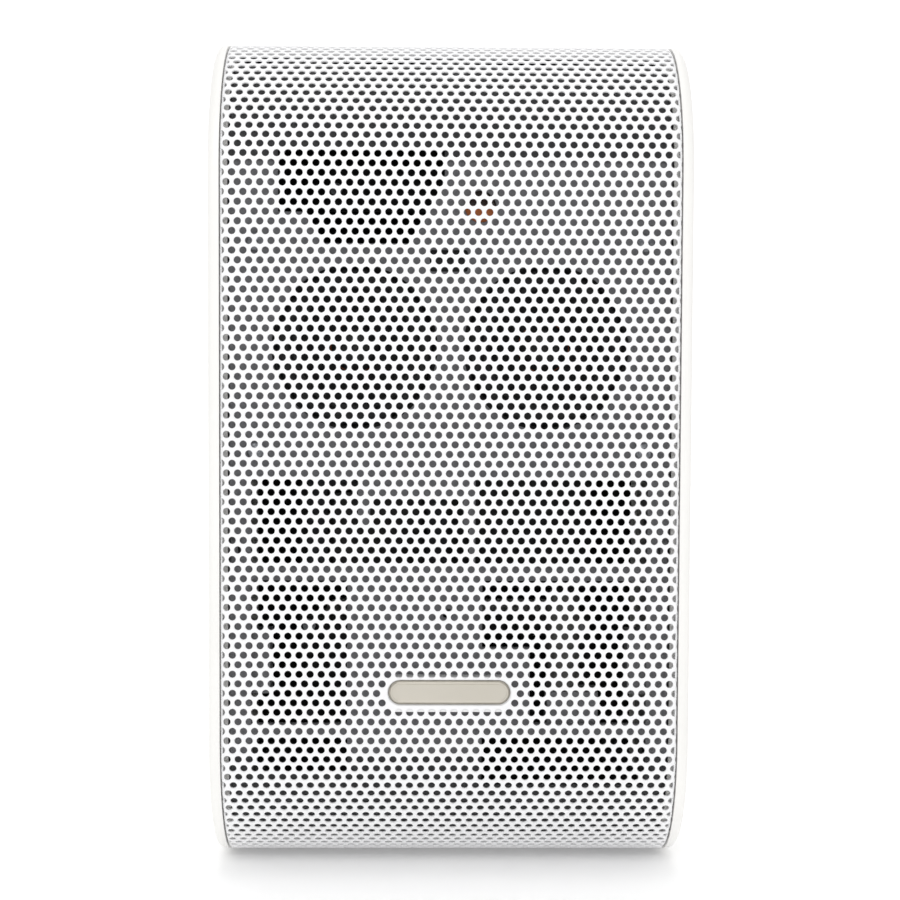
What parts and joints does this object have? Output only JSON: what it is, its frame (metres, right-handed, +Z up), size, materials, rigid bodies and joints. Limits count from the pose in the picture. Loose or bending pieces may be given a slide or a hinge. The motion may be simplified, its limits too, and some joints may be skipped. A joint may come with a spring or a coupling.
{
  "type": "smart speaker",
  "caption": "Upright tabletop smart speaker: a white perforated sheet bent round the front between two end caps, with a silver pill badge, sprung drivers and rear buttons and sockets.",
  "frame": {"origin": "on the resting surface, under the middle of the casing's box (the rubber feet stand on z = 0)", "axes": "+Z up, -Y towards the listener (the perforated front), +X to the right seen from the front"},
  "size_m": [0.1306, 0.108, 0.2314],
  "materials": {
    "white_sheet": "satin",
    "white_shell": "satin",
    "chassis_plastic": "matte",
    "badge_metal": "satin",
    "holder_plastic": "matte",
    "zinc_steel": "satin",
    "lens_amber": "gloss",
    "circuit_board": "satin",
    "black_foam": "matte",
    "black_steel": "satin",
    "cone_paper": "matte",
    "cap_black": "satin",
    "edge_rubber": "matte",
    "spider_cloth": "matte",
    "coil_copper": "satin",
    "plated_steel": "satin",
    "ferrite": "matte",
    "panel_grey": "satin",
    "socket_black": "satin",
    "pin_nickel": "polished",
    "black_aluminium": "satin",
    "shield_tin": "satin",
    "core_iron": "satin",
    "capacitor_sleeve": "gloss",
    "insert_brass": "satin",
    "button_white": "satin",
    "foot_rubber": "matte"
  },
  "bodies": {
    "casing": {"amplifier_heatsink": "black_aluminium", "aux_jack": "socket_black", "badge_holder": "holder_plastic", "badge_plate": "badge_metal", "baffle_screws": "zinc_steel", "board_screws": "zinc_steel", "bracket_insert": "insert_brass", "button_board": "circuit_board", "button_switches": "socket_black", "cap_screws": "zinc_steel", "connector_panel": "panel_grey", "driver_baffle": "chassis_plastic", "driver_chamber": "chassis_plastic", "driver_gaskets": "black_foam", "filter_capacitor": "capacitor_sleeve", "front_chassis": "chassis_plastic", "grille_sheet": "white_sheet", "housing_screws": "zinc_steel", "inlet_pins": "pin_nickel", "lamp_board": "circuit_board", "lamp_chip": "lens_amber", "lamp_lens": "lens_amber", "left_basket": "black_steel", "left_end_cap": "white_shell", "left_front_plate": "plated_steel", "left_magnet": "ferrite", "left_spider": "spider_cloth", "left_surround": "edge_rubber", "left_yoke": "plated_steel", "main_board": "circuit_board", "mains_inlet": "socket_black", "microphone_board": "circuit_board", "network_jack": "socket_black", "power_board": "circuit_board", "radio_antenna": "circuit_board", "radio_module": "shield_tin", "rear_housing": "white_shell", "right_basket": "black_steel", "right_end_cap": "white_shell", "right_front_plate": "plated_steel", "right_magnet": "ferrite", "right_spider": "spider_cloth", "right_surround": "edge_rubber", "right_yoke": "plated_steel", "rubber_feet": "foot_rubber", "transformer_core": "core_iron", "transformer_winding": "coil_copper"},
    "left_cone_assembly": {"left_cone": "cone_paper", "left_dust_cap": "cap_black", "left_voice_coil": "coil_copper"},
    "right_cone_assembly": {"right_cone": "cone_paper", "right_dust_cap": "cap_black", "right_voice_coil": "coil_copper"},
    "power_button_body": {"power_button": "button_white"},
    "mute_button_body": {"mute_button": "button_white"},
    "volume_down_button_body": {"volume_down_button": "button_white"},
    "volume_up_button_body": {"volume_up_button": "button_white"}
  },
  "joints": [
    {"name": "left_cone_stroke", "type": "slide", "parent": "casing", "child": "left_cone_assembly", "axis": [0, -1, 0], "range_m": [-0.002, 0.002], "stiffness_N_per_m": 1000, "deforming": ["left_surround", "left_spider"]},
    {"name": "right_cone_stroke", "type": "slide", "parent": "casing", "child": "right_cone_assembly", "axis": [0, -1, 0], "range_m": [-0.002, 0.002], "stiffness_N_per_m": 1000, "deforming": ["right_surround", "right_spider"]},
    {"name": "power_press", "type": "slide", "parent": "casing", "child": "power_button_body", "axis": [0, -1, 0], "range_m": [0, 0.001], "stiffness_N_per_m": 600, "springref_m": -0.0005},
    {"name": "mute_press", "type": "slide", "parent": "casing", "child": "mute_button_body", "axis": [0, -1, 0], "range_m": [0, 0.001], "stiffness_N_per_m": 600, "springref_m": -0.0005},
    {"name": "volume_down_press", "type": "slide", "parent": "casing", "child": "volume_down_button_body", "axis": [0, -1, 0], "range_m": [0, 0.001], "stiffness_N_per_m": 600, "springref_m": -0.0005},
    {"name": "volume_up_press", "type": "slide", "parent": "casing", "child": "volume_up_button_body", "axis": [0, -1, 0], "range_m": [0, 0.001], "stiffness_N_per_m": 600, "springref_m": -0.0005}
  ]
}
